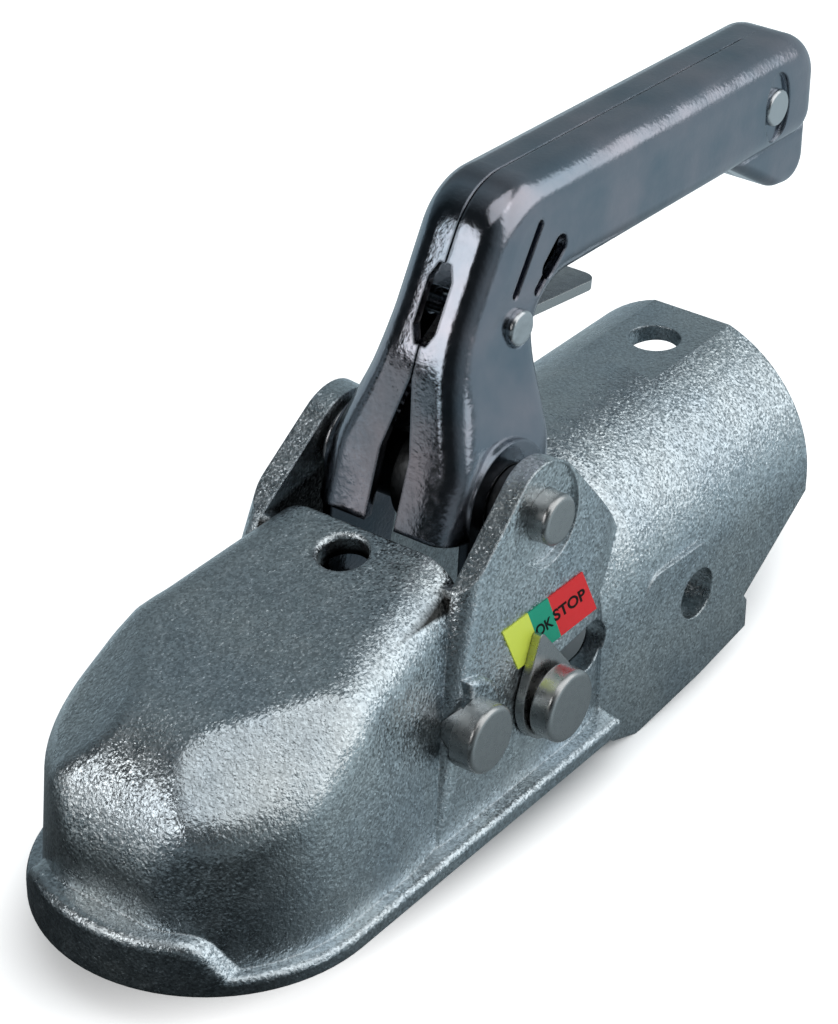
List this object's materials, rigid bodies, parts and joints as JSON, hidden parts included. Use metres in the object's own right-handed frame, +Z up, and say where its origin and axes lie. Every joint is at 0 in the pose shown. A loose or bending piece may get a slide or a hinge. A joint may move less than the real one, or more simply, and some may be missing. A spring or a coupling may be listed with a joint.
{
  "type": "trailer coupling head",
  "caption": "Zinc-plated ball coupling head for a trailer drawbar, with a two-shell hand lever, finger trigger, sliding lock pin with pointer and coloured indicator label.",
  "frame": {"origin": "centre of the seated tow ball", "axes": "+X to the nose, +Y to the side with the indicator, +Z up"},
  "size_m": [0.2592, 0.084, 0.1402],
  "materials": {
    "housing_zinc": "grainy zinc plating over a forged skin",
    "lever_zinc": "smooth darker zinc plating on pressed sheet",
    "pin_steel": "smooth plated pin heads",
    "inner_steel": "plain dark steel",
    "spring_steel": "drawn wire",
    "label_film": "printed film"
  },
  "bodies": {
    "housing": {"housing": "housing_zinc", "lever_pivot_pin": "pin_steel", "jaw_pivot_pin": "pin_steel", "jaw_pin_ring": "pin_steel", "indicator_label": "label_film", "catch_plate": "inner_steel", "pivot_spacer_left": "inner_steel", "pivot_spacer_right": "inner_steel", "jaw_spacer_left": "inner_steel", "jaw_spacer_right": "inner_steel", "lever_return_spring": "spring_steel", "jaw_spring": "spring_steel"},
    "lever": {"handle_left_shell": "lever_zinc", "handle_right_shell": "lever_zinc", "handle_rear_rivet": "pin_steel", "trigger_pin": "pin_steel", "pivot_bush_left": "inner_steel", "pivot_bush_right": "inner_steel", "spring_seat": "lever_zinc", "trigger_spring": "spring_steel"},
    "trigger": {"trigger": "lever_zinc"},
    "slide": {"slide_pin": "pin_steel", "slide_end_washer": "pin_steel", "indicator_pointer": "pin_steel", "locking_block": "inner_steel"},
    "jaw": {"closing_jaw": "inner_steel"}
  },
  "joints": [
    {"name": "lever_turn", "type": "hinge", "parent": "housing", "child": "lever", "pos_m": [-0.0782, 0, 0.0465], "axis": [0, 1, 0], "range_deg": [0, 28], "stiffness_Nm_per_rad": 0.6, "springref_deg": -17.19},
    {"name": "trigger_pull", "type": "hinge", "parent": "lever", "child": "trigger", "pos_m": [-0.0918, 0, 0.081], "axis": [0, 1, 0], "range_deg": [0, 7], "stiffness_Nm_per_rad": 0.3, "springref_deg": -11.46, "deforming": ["trigger_spring"]},
    {"name": "slide_travel", "type": "slide", "parent": "housing", "child": "slide", "axis": [-0.9962, 0, 0.0873], "range_m": [0, 0.02043]},
    {"name": "jaw_swing", "type": "hinge", "parent": "housing", "child": "jaw", "pos_m": [-0.045, 0, 0.01], "axis": [0, 1, 0], "range_deg": [0, 15]}
  ],
  "couplings": [
    {"joint": "slide_travel", "follows": "lever_turn", "m_per_rad": 0.0418},
    {"joint": "jaw_swing", "follows": "lever_turn", "ratio": 0.53571}
  ]
}
